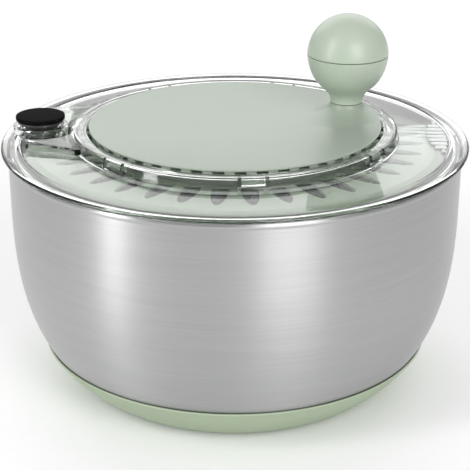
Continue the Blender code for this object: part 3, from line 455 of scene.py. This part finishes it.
STEEL_LINE = (floor_curve(3.5 * MM, 12.0 * MM, 27.7 * MM, side)
              + climb(12.0 * MM, SHOULDER, side, 30)[1:] + [(WALL, RIM - 3.6 * MM)])
dimple = [(0.0, 8.5 * MM), (6.0 * MM, 8.5 * MM), (12.0 * MM, 3.5 * MM)]
inside_dimple = [(12.0 * MM, 4.3 * MM), (6.0 * MM, 9.3 * MM), (0.0, 9.3 * MM)]
bead = [(WALL + 0.9 * MM, RIM - 3.2 * MM), (WALL + 1.3 * MM, RIM - 2.3 * MM),
        (WALL + 1.3 * MM, RIM - 1.2 * MM), (WALL + 0.8 * MM, RIM - 0.3 * MM),
        (WALL, RIM), (WALL - 0.8 * MM, RIM - 0.7 * MM)]
outline = dimple + STEEL_LINE + bead + beside(STEEL_LINE, 0.8 * MM)[::-1] + inside_dimple
bowl = spun("steel_bowl", outline, STEEL, 160)
stands_for(bowl, "bowl_body", "brushed_steel", "bowl")

# %% [markdown]
# ## The soft base
#
# A silicone cup grips the bottom of the bowl and stops it sliding.  It follows the steel
# outside, ends in a rounded lip that stands proud of the wall, and stands on a foot ring.

# %% Spin the base
BASE_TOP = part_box("base_cup")[1].z
grip = beside([point for point in STEEL_LINE if point[1] < BASE_TOP - MM]
              + [(side(BASE_TOP), BASE_TOP)], -0.3 * MM)
lip = grip[-1]
outer = [(side(h) + 1.4 * MM, h) for h in
         [BASE_TOP * (1.0 - 0.06 * i) for i in range(1, 16)]]
foot = side(0.0)
outline = ([(0.0, 3.2 * MM)] + grip
           + [(lip[0] + 0.5 * MM, BASE_TOP + 0.15 * MM), (lip[0] + 0.95 * MM, BASE_TOP - 0.1 * MM),
              (lip[0] + 1.1 * MM, BASE_TOP - 0.7 * MM)]
           + outer + [(foot + 0.6 * MM, 0.5 * MM), (foot - 0.8 * MM, 0.0),
                      (foot - 14.2 * MM, 0.0), (foot - 15.0 * MM, 1.0 * MM), (0.0, 1.0 * MM)])
base = spun("soft_base", outline, SILICONE, 160)
stands_for(base, "bowl_body", "sage_silicone", "base_cup")

# %% [markdown]
# ## The basket
#
# The basket follows the bowl a finger's width further in.  It is a colander: its wall and
# floor are slotted, its rim is stiffened by a flange, and its hub has a blind socket that
# turns on the bearing in the bowl.

# %% Spin and slot the basket
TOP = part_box("basket")[1].z


def basket_side(height):
    return side(height) - 9.5 * MM


line = (floor_curve(12.0 * MM, 22.0 * MM, 24.3 * MM, basket_side, 8)
        + climb(22.0 * MM, SHOULDER, basket_side, 20)[1:])
wall = basket_side(TOP)
outline = ([(0.0, 21.0 * MM), (5.3 * MM, 21.0 * MM), (5.3 * MM, 12.0 * MM)] + line
           + soften([(wall, TOP - 5.0 * MM), (wall, TOP - 2.6 * MM),
                     (wall + 1.7 * MM, TOP - 2.2 * MM), (wall + 1.7 * MM, TOP),
                     (wall - 2.2 * MM, TOP), (wall - 2.2 * MM, TOP - 5.0 * MM)],
                    0.7 * MM, 3, False)
           + beside(line, 2.2 * MM)[::-1]
           + soften([(15.0 * MM, 14.2 * MM), (12.0 * MM, 14.2 * MM), (10.5 * MM, 24.0 * MM),
                     (0.0, 24.0 * MM)], 1.2 * MM, 4, False))
# The basket wears the darkened green that paints the shade inside the bowl.
basket = spun("slotted_basket", outline, PAINTED_SHADE_GREEN, 144)
work(basket,
     ("DIFFERENCE", ring_of(bar(55 * MM, 130 * MM, 5.6 * MM), 34 * MM, RIM - 32 * MM, 24, 7.5)),
     ("DIFFERENCE", ring_of(bar(24 * MM, 68 * MM, 4 * MM), 11 * MM, 16 * MM, 12, 15.0)),
     ("DIFFERENCE", ring_of(bar(115.2 * MM, 125 * MM, 9.2 * MM), TOP - 2.6 * MM, TOP + MM, 4, 45)))
stands_for(basket, "basket_body", "green_plastic", "basket")

# %% [markdown]
# ## The drive plate
#
# Under the clear lid lies the plate that closes the basket and turns it.  Egg-shaped slots
# like petals run out from its centre pan, so that water can reach the drain.  They are
# drawn once as a flat outline and repeated all round.

# %% Spin and slot the plate
PLATE = RIM - 0.5 * MM
outline = soften([(3.4 * MM, 131.4 * MM), (74.6 * MM, 131.4 * MM), (74.6 * MM, PLATE - 1.8 * MM),
                  (113.0 * MM, PLATE - 1.8 * MM), (113.0 * MM, TOP - 4.8 * MM),
                  (114.9 * MM, TOP - 4.8 * MM), (114.9 * MM, TOP + 0.4 * MM),
                  (119.0 * MM, TOP + 0.4 * MM), (119.0 * MM, TOP + 2.0 * MM),
                  (113.4 * MM, PLATE), (72.6 * MM, PLATE), (72.6 * MM, 133.2 * MM),
                  (8.6 * MM, 133.2 * MM), (8.6 * MM, 137.5 * MM), (3.4 * MM, 137.5 * MM)],
                 0.7 * MM, 3)
plate = spun("petal_plate", outline, GREEN, 144)
right = []
for degrees in range(-75, 90, 15):
    angle = math.radians(degrees)
    reach = 7.5 * MM if degrees < 0 else 22.5 * MM
    right.append((83.8 * MM + reach * math.sin(angle), 4.7 * MM * math.cos(angle)))
petal = ([(76.3 * MM, 0.0)] + right + [(106.3 * MM, 0.0)]
         + [(along, -across) for along, across in right[::-1]])
spigot = [(6.0 * MM * math.cos(math.radians(60 * i)), 6.0 * MM * math.sin(math.radians(60 * i)))
          for i in range(6)]
hub = bmesh.new()
push_up(hub, spigot, 136.5 * MM, 142.2 * MM)
bore = bmesh.new()
spin_into(bore, [(0.0, 130 * MM), (3.4 * MM, 130 * MM), (3.4 * MM, 144 * MM), (0.0, 144 * MM)], 32)
work(plate, ("UNION", hub), ("DIFFERENCE", bore),
     ("UNION", ring_of(bar(115.9 * MM, 118.6 * MM, 8 * MM), TOP - 2.2 * MM, TOP + 1.2 * MM, 4, 45)),
     ("DIFFERENCE", ring_of(petal, PLATE - 3 * MM, PLATE + MM, 36, 5.0)))
stands_for(plate, "drive_body", "green_plastic", "drive_plate")

# %% [markdown]
# ## The gear housing
#
# A pale cup hangs from the lid under the disc and holds the gears.  Seven arms reach out
# from its mouth and snap into clips on the turret, where they show through the lid.

# %% Spin the housing
outline = soften([(9.2 * MM, 135.8 * MM), (70.7 * MM, 135.8 * MM), (70.7 * MM, 144.9 * MM),
                  (76.0 * MM, 144.9 * MM), (76.0 * MM, 146.9 * MM), (68.9 * MM, 146.9 * MM),
                  (68.9 * MM, 137.4 * MM), (9.2 * MM, 137.4 * MM)], 0.6 * MM, 3)
housing = spun("gear_cup", outline, SAGE, 144)
holes = bmesh.new()
for angle in (90, 210, 330):
    centre = around(angle) @ Vector((38.98 * MM, 0.0, 0.0))
    spin_into(holes, [(0.0, 135 * MM), (3.3 * MM, 135 * MM), (3.3 * MM, 138 * MM),
                      (0.0, 138 * MM)], 24, (centre.x, centre.y))
CLIPS, FIRST_CLIP = 7, -84.0
arms = ring_of(bar(71.3 * MM, 87.9 * MM, 11 * MM), 145.1 * MM, 146.7 * MM, CLIPS, FIRST_CLIP)
work(housing, ("DIFFERENCE", holes), ("UNION", arms))
stands_for(housing, "lid_body", "sage_plastic", "gear_housing")

# %% [markdown]
# ## The clear lid
#
# The lid is one moulding with its real thickness everywhere, because clear plastic shows
# every wall.  From the outside in it has a rounded rim over the bowl, a skirt inside the
# bowl, a groove, a flat that falls gently outwards, and the turret round the disc.  The
# brake's boss, the clips that hold the housing and the ribs on the skirt are joined on,
# and the bore and the drain slots are cut out.
#
# The boss stands on a raised plateau that reaches from the turret to the groove, with a
# ramp up to the turret.  A convex hull over arcs round the lid's axis gives each of these
# shapes.  A smaller one hollows the plateau out from below.

# %% The plateau's shapes
def saddle(arcs, low, trim, trim_boss=None):
    """Hull over arcs round the lid's axis, in mm, cut back at the turret and the boss.

    Each arc is a radius, half its angle in degrees, its top, and the fall to its ends.
    """
    bm = bmesh.new()
    for radius, half, top, fall in arcs:
        for step in range(25):
            along = step / 12.0 - 1.0
            place = around(BRAKE_ANGLE + half * along) @ Vector((radius * MM, 0.0, 0.0))
            bm.verts.new((place.x, place.y, low * MM))
            bm.verts.new((place.x, place.y, (top - fall * along ** 4) * MM))
    bmesh.ops.convex_hull(bm, input=bm.verts)
    loose = [vert for vert in bm.verts if not vert.link_faces]
    bmesh.ops.delete(bm, geom=loose, context="VERTS")
    shape = finish_piece("saddle", bm, None)
    tools = [cylinder(trim, 135, 155, (0.0, 0.0), 192)]
    if trim_boss:
        tools.append(cylinder(trim_boss, 135, 155, BRAKE.xy, 64))
    work(shape, *[("DIFFERENCE", item) for item in tools])
    return taken_back(shape)


def cylinder(radius, low, high, centre, steps):
    """An upright cylinder, in mm, as a tool."""
    bm = bmesh.new()
    spin_into(bm, [(0.0, low * MM), (radius * MM, low * MM), (radius * MM, high * MM),
                   (0.0, high * MM)], steps, centre)
    return bm


BRAKE_ANGLE = 175.8
BRAKE = around(BRAKE_ANGLE) @ Vector((111.0 * MM, 0.0, 0.0))

# %% Spin the lid
outline = soften([(83.2 * MM, 147.3 * MM), (85.0 * MM, 147.3 * MM), (85.0 * MM, 148.1 * MM),
                  (89.0 * MM, 148.1 * MM), (89.6 * MM, 141.8 * MM), (119.0 * MM, 140.6 * MM),
                  (123.6 * MM, 139.8 * MM), (123.6 * MM, 133.0 * MM), (125.6 * MM, 133.0 * MM),
                  (125.6 * MM, 140.6 * MM), (130.3 * MM, 140.6 * MM), (131.0 * MM, 141.0 * MM),
                  (131.0 * MM, 142.0 * MM), (130.0 * MM, 143.0 * MM), (127.0 * MM, 143.5 * MM),
                  (121.1 * MM, 143.3 * MM), (120.3 * MM, 142.6 * MM), (92.2 * MM, 143.8 * MM),
                  (91.6 * MM, 144.4 * MM), (91.0 * MM, 149.0 * MM), (90.0 * MM, 149.9 * MM),
                  (83.2 * MM, 149.2 * MM)], 0.5 * MM, 3)
lid = spun("clear_lid", outline, CLEAR, 192)

clips = ring_of(bar(86.6 * MM, 90.0 * MM, 16 * MM), 143.3 * MM, 144.6 * MM, CLIPS, FIRST_CLIP)
ribs = ring_of(bar(125.0 * MM, 125.9 * MM, 3.6 * MM), 133.5 * MM, 141.1 * MM, 8, -87.8)
posts = [("UNION", ring_of(bar(86.7 * MM, 89.9 * MM, 2 * MM), 143.9 * MM, 148.7 * MM,
                           CLIPS, FIRST_CLIP + turn)) for turn in (-4.54, 4.54)]
plateau = saddle([(90.5, 29.7, 147.1, 0.0), (117.5, 15.5, 147.1, 0.0)], 142.0, 90.2)
ramp = saddle([(90.5, 29.0, 149.4, 2.6), (96.4, 27.0, 146.8, 0.0)], 143.0, 90.2)
pocket = saddle([(93.2, 25.5, 145.1, 0.0), (115.5, 14.5, 145.1, 0.0)], 139.0, 93.0, 15.6)
boss = bmesh.new()
spin_into(boss, soften([(0.0, 142.0 * MM), (15.5 * MM, 142.0 * MM), (15.5 * MM, 147.2 * MM),
                        (0.0, 147.2 * MM)], 0.7 * MM, 3, False), 64, BRAKE.xy)
bore = bmesh.new()
spin_into(bore, [(0.0, 139 * MM), (9.4 * MM, 139 * MM), (9.4 * MM, 142.9 * MM),
                 (13.3 * MM, 142.9 * MM), (13.3 * MM, 151 * MM), (0.0, 151 * MM)], 64, BRAKE.xy)
DRAIN_PITCH = 6.3 * MM
DRAIN_TURN = around(-1.2)
drain = bmesh.new()
outer = 119.4 * MM
for index in range(8):
    across = (index - 3.5) * DRAIN_PITCH
    start = outer - 11 * MM * math.sqrt(1 - (across / (27 * MM)) ** 2)
    end = math.sqrt(outer ** 2 - (abs(across) + 1.1 * MM) ** 2)
    low, high = across - 1.1 * MM, across + 1.1 * MM
    push_up(drain, [(start, low), (end, low), (end, high), (start, high)],
            139 * MM, 150 * MM, DRAIN_TURN)
work(lid, ("UNION", clips), *posts, ("UNION", ribs),
     ("UNION", plateau), ("UNION", ramp), ("UNION", boss),
     ("DIFFERENCE", pocket), ("DIFFERENCE", bore), ("DIFFERENCE", drain))
stands_for(lid, "lid_body", "clear_plastic", "lid")

# %% [markdown]
# ## The drain bars
#
# The bars between the drain slots carry raised frosted ridges, so that wet fingers find
# them.  Their near-white colour is painted highlight: it stands for the light that the
# ridges' rounded tops catch.  Each ridge is a low block whose upper edges are bevelled round.

# %% Raise the ridges
bm = bmesh.new()
for index in range(9):
    across = (index - 4.0) * DRAIN_PITCH
    start = outer - 11.6 * MM * math.sqrt(1 - (across / (29 * MM)) ** 2)
    end = math.sqrt((outer - 0.3 * MM) ** 2 - (abs(across) + 2.0 * MM) ** 2)
    low, high = across - 2.0 * MM, across + 2.0 * MM
    push_up(bm, [(start, low), (end, low), (end, high), (start, high)],
            142.3 * MM, 143.5 * MM, DRAIN_TURN)
upper = [edge for edge in bm.edges if min(vert.co.z for vert in edge.verts) > 143.4 * MM]
bmesh.ops.bevel(bm, geom=upper, offset=0.7 * MM, offset_type="OFFSET", segments=4,
                profile=0.5, affect="EDGES", clamp_overlap=True, material=-1)
ridges = finish_piece("drain_ridges", bm, FROST_PAINTED_HIGHLIGHT, 60.0)
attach(ridges, "lid_body")
print("9 frosted ridges")

# %% [markdown]
# ## The crank disc
#
# The disc is dished a few millimetres.  Under its edge runs a ring of small windows, and
# near the edge a boss rises to the knob like a trumpet.  The trumpet's points are spun
# first and then lifted onto the dish, so that it runs out into the dish without a step.

# %% Spin the disc
DISC = 82.1 * MM
EDGE = RIM + 11.0 * MM


def dish(radius):
    return EDGE - 4.5 * MM * (1.0 - (radius / DISC) ** 2)


over = [(DISC * f, dish(DISC * f)) for f in [0.96 - 0.06 * i for i in range(16)]]
under = [(DISC * f, dish(DISC * f) - 1.8 * MM) for f in [0.14 + 0.08 * i for i in range(11)]]
outline = ([(0.0, 142.5 * MM), (6.5 * MM, 142.5 * MM)] + under
           + soften([(79.6 * MM, 149.0 * MM), (79.8 * MM, 148.2 * MM), (81.4 * MM, 148.2 * MM),
                     (81.4 * MM, 149.9 * MM), (82.1 * MM, 150.1 * MM), (82.1 * MM, 150.7 * MM),
                     (81.6 * MM, 151.0 * MM), (80.4 * MM, dish(80.4 * MM))], 0.35 * MM, 3, False)
           + over + [(0.0, dish(0.0))])
disc = spun("crank_top", outline, SAGE, 180)

KNOB = Vector((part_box("knob_pin")[0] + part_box("knob_pin")[1]) / 2)
NECK = 9.3 * MM
FLARE = 16.0 * MM
reach = [NECK + FLARE * (index / 24) ** 2 for index in range(25)]
boss = bmesh.new()
spin_into(boss, [(0.0, 0.0)] + [(r, 0.0) for r in reach[2::4]]
          + [(r, MM) for r in reach[::-1]] + [(0.0, MM)], 96)
for vert in boss.verts:
    surface = dish((vert.co.xy + KNOB.xy).length)
    if vert.co.z < 0.5 * MM:
        vert.co.z = surface - 1.0 * MM
    else:
        spread = max(0.0, vert.co.xy.length - NECK) / FLARE
        rise = max(0.0, 1.0 - math.sqrt(spread)) ** 1.3
        vert.co.z = rise * 157.2 * MM + (1.0 - rise) * (surface - 0.04 * MM)
bmesh.ops.translate(boss, verts=boss.verts, vec=(KNOB.x, KNOB.y, 0.0))
trumpet = finish_piece("trumpet", boss, None)
work(trumpet, ("INTERSECT", cylinder(81.9, 140, 165, (0.0, 0.0), 180)))
boss = taken_back(trumpet)
hole = bmesh.new()
spin_into(hole, [(0.0, 150.3 * MM), (3.3 * MM, 150.3 * MM), (3.3 * MM, 158 * MM),
                 (0.0, 158 * MM)], 32, KNOB.xy)
work(disc, ("DIFFERENCE", ring_of(bar(79.4 * MM, 83 * MM, 6.2 * MM), 147 * MM, 149.9 * MM, 45)),
     ("UNION", boss), ("DIFFERENCE", hole))
stands_for(disc, "crank_body", "sage_plastic", "crank_disc")

# %% [markdown]
# ## The ball knob
#
# The knob is a ball with a waist, moulded in two halves that meet in a fine groove at the
# ball's widest line.  Below that line the ball runs in a long curve into its neck.

# %% Spin the two halves
BALL = 23.0 * MM
CENTRE = 185.0 * MM
profile = [(9.3, -27.4), (9.25, -27.1), (9.3, -26.0), (9.8, -24.0), (10.8, -22.3), (12.4, -20.6),
           (14.4, -18.7), (16.5, -16.7), (18.4, -14.3), (20.0, -11.6), (21.3, -8.5),
           (22.2, -5.3), (22.8, -2.3), (22.95, -0.45), (22.7, -0.2)]
outline = ([(3.4 * MM, CENTRE - 27.4 * MM)]
           + [(r * MM, CENTRE + h * MM) for r, h in profile]
           + [(18.0 * MM, CENTRE - 0.2 * MM), (18.0 * MM, CENTRE - 4 * MM),
              (8.5 * MM, CENTRE - 7 * MM), (3.4 * MM, CENTRE - 7 * MM)])
lower = spun("knob_lower_half", outline, KNOB_SAGE, 96, KNOB.xy)
stands_for(lower, "knob_body", "sage_plastic", "knob_base")

dome = [(BALL * math.cos(math.radians(a)), CENTRE + BALL * math.sin(math.radians(a)))
        for a in range(2, 90, 4)]
outline = ([(0.0, CENTRE + 20 * MM), (10 * MM, CENTRE + 18 * MM), (15.6 * MM, CENTRE + 12 * MM),
            (15.6 * MM, CENTRE - 2.8 * MM), (17.7 * MM, CENTRE - 2.8 * MM),
            (17.7 * MM, CENTRE + 0.2 * MM), (22.7 * MM, CENTRE + 0.2 * MM),
            (22.97 * MM, CENTRE + 0.45 * MM)] + dome + [(0.0, CENTRE + BALL)])
upper = spun("knob_upper_half", outline, KNOB_SAGE, 96, KNOB.xy)
stands_for(upper, "knob_body", "sage_plastic", "knob_cap")

# %% [markdown]
# ## The brake button
#
# The button has a soft-touch flat cap over a shinier ring, which runs in the clear boss.
# The two are moulded in different plastics, so they are two pieces here.

# %% Spin the button
cap = soften([(0.0, 150.0 * MM), (13.5 * MM, 150.0 * MM), (13.9 * MM, 150.4 * MM),
              (13.9 * MM, 152.6 * MM), (0.0, 152.6 * MM)], 0.8 * MM, 5, False)
button = spun("brake_cap", cap, SOFT_BLACK, 96, BRAKE.xy)
stands_for(button, "brake_body", "black_plastic", "brake_button")

collar = soften([(0.0, 143.6 * MM), (9.0 * MM, 143.6 * MM), (9.0 * MM, 148.3 * MM),
                 (12.9 * MM, 148.3 * MM), (13.1 * MM, 149.95 * MM), (0.0, 149.95 * MM)],
                0.5 * MM, 4, False)
ring = spun("brake_ring", collar, BLACK, 96, BRAKE.xy)
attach(ring, "brake_body")
print("cap and ring ride together")

# %% [markdown]
# ## The hidden works
#
# The gears, rivets, screw, washers, bearing, pin, spring and pad are right as the CAD made
# them, so they stay and only take a finish.

# %% Give the carried pieces their finishes
CARRIED = {
    "basket_foot": NYLON, "idler_gear_1": NYLON, "idler_gear_2": NYLON, "idler_gear_3": NYLON,
    "sun_gear": NYLON, "centre_washer": NYLON, "idler_rivet_1": FIXING,
    "idler_rivet_2": FIXING, "idler_rivet_3": FIXING, "centre_screw": FIXING,
    "knob_pin": FIXING, "knob_washer": FIXING, "brake_spring": FIXING, "brake_pad": RUBBER,
}
for node, material in CARRIED.items():
    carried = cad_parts[node]
    for place in carried.material_slots:
        place.material = material
print(len(CARRIED), "carried pieces have a finish")

# %% [markdown]
# ## Floor, light and camera
#
# A white floor and an even sky give the soft look of a product table.  A tall strip on
# the left and a wide box on the right make the upright bands on the steel and the two
# highlights on the knob.  A bright wall behind lies on the lid as a pale veil.  The
# camera stands a little above the lid, with a long lens.

# %% The white table
bm = bmesh.new()
bmesh.ops.create_circle(bm, cap_ends=True, radius=6.0, segments=96)
ground = finish_piece("white_table", bm, None)
paper = Finish("white_paper", Roughness=0.9)
fibre = paper.noise(0.004, 3.0)
paper.drive(Base_Color=paper.mix(fibre, (0.93, 0.93, 0.93), (0.96, 0.96, 0.96)))
ground.data.materials.append(paper.material)
ground.location.z = -0.0002
ground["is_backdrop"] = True


def lamp(name, place, aim, width, height, power):
    """A soft rectangular lamp that faces a point."""
    light = bpy.data.lights.new(name, "AREA")
    light.shape = "RECTANGLE"
    light.size = width
    light.size_y = height
    light.energy = power
    holder = bpy.data.objects.new(name, light)
    bpy.context.scene.collection.objects.link(holder)
    holder.location = place
    away = Vector(aim) - Vector(place)
    holder.rotation_euler = away.to_track_quat("-Z", "Y").to_euler()
    return holder


MIDDLE = (0.0, 0.0, 0.08)
lamp("left_strip", (-1.0, -0.65, 0.62), MIDDLE, 0.25, 1.25, 8.0)
lamp("right_box", (0.50, -1.06, 0.62), MIDDLE, 0.6, 0.9, 9.2)
lamp("back_wall", (0.0, 1.6, 1.2), MIDDLE, 3.0, 1.6, 24.0)

world = bpy.data.worlds.new("white_sky")
bpy.context.scene.world = world
world.use_nodes = True
sky = world.node_tree.nodes["Background"]
sky.inputs["Color"].default_value = (1.0, 1.0, 1.0, 1.0)
sky.inputs["Strength"].default_value = 0.50

# %% The camera
ELEVATION = math.radians(22.29)
DISTANCE = 0.80
AIM = Vector((0.0, 0.0, 0.0819))
camera = bpy.data.objects.new("camera", bpy.data.cameras.new("camera"))
bpy.context.scene.collection.objects.link(camera)
camera.data.sensor_width = 36.0
camera.data.lens = 36.0 * 1373.0 / 470.0
camera.data.clip_start = 0.05
camera.data.clip_end = 20.0
camera.location = AIM + DISTANCE * Vector((0.0, -math.cos(ELEVATION), math.sin(ELEVATION)))
camera.rotation_euler = (AIM - camera.location).to_track_quat("-Z", "Y").to_euler()
camera.data.dof.use_dof = False
bpy.context.scene.camera = camera
bpy.context.scene.view_settings.view_transform = "Standard"
print("lens", round(camera.data.lens, 1), "mm")

# %% Measure the size of the visual
bpy.context.view_layer.update()
low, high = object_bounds()
print("visual size in mm:", [round(length / MM, 1) for length in high - low])
